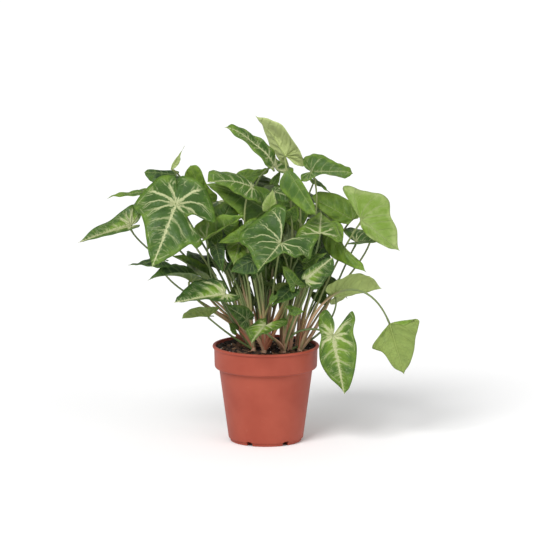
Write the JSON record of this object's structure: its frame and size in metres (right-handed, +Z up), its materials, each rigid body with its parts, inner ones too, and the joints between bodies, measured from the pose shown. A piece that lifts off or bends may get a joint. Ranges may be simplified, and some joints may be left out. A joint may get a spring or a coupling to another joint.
{
  "type": "potted arrowhead plant",
  "caption": "Bushy arrowhead plant with arrow-shaped, cream-veined green leaves on long stems, growing from soil in a round tapered plastic nursery pot.",
  "frame": {"origin": "centre of the pot's underside, on the surface it stands on", "axes": "+Z up, +X to the right and -Y to the front of the view in which the fullest side is seen"},
  "size_m": [0.3818, 0.2203, 0.3662],
  "materials": {
    "pot": "satin terracotta-coloured plastic",
    "soil": "loose dark potting compost",
    "stems": "smooth green to brown stem",
    "leaf_veined": "satin leaf with cream veins",
    "leaf_bright": "satin bright green leaf",
    "leaf_pale": "matte pale green leaf underside",
    "leaf_dark": "satin dark green leaf"
  },
  "bodies": {
    "root": {"pot": "pot", "soil": "soil", "stems_a": "stems", "stems_b": "stems", "stems_c": "stems", "stems_d": "stems", "stems_e": "stems", "stems_f": "stems", "stems_g": "stems", "stems_h": "stems", "stems_i": "stems", "stems_j": "stems", "leaf_01": "leaf_veined", "leaf_02": "leaf_bright", "leaf_03": "leaf_dark", "leaf_04": "leaf_pale", "leaf_05": "leaf_veined", "leaf_06": "leaf_dark", "leaf_07": "leaf_dark", "leaf_08": "leaf_bright", "leaf_09": "leaf_dark", "leaf_10": "leaf_veined", "leaf_11": "leaf_bright", "leaf_12": "leaf_bright", "leaf_13": "leaf_pale", "leaf_14": "leaf_veined", "leaf_15": "leaf_veined", "leaf_16": "leaf_veined", "leaf_17": "leaf_bright", "leaf_18": "leaf_bright", "leaf_19": "leaf_veined", "leaf_20": "leaf_bright", "leaf_21": "leaf_veined", "leaf_22": "leaf_pale", "leaf_23": "leaf_veined", "leaf_24": "leaf_bright", "leaf_25": "leaf_veined", "leaf_26": "leaf_pale", "leaf_27": "leaf_bright", "leaf_28": "leaf_veined", "leaf_29": "leaf_veined", "leaf_30": "leaf_dark", "leaf_31": "leaf_pale", "leaf_32": "leaf_veined", "leaf_33": "leaf_bright", "leaf_34": "leaf_pale", "leaf_35": "leaf_dark", "leaf_36": "leaf_veined", "leaf_37": "leaf_pale", "leaf_38": "leaf_bright", "leaf_39": "leaf_bright", "leaf_40": "leaf_dark", "leaf_41": "leaf_dark", "leaf_42": "leaf_veined", "leaf_43": "leaf_veined", "leaf_44": "leaf_bright", "leaf_45": "leaf_veined", "leaf_46": "leaf_veined", "leaf_47": "leaf_bright", "leaf_48": "leaf_veined"}
  },
  "joints": []
}
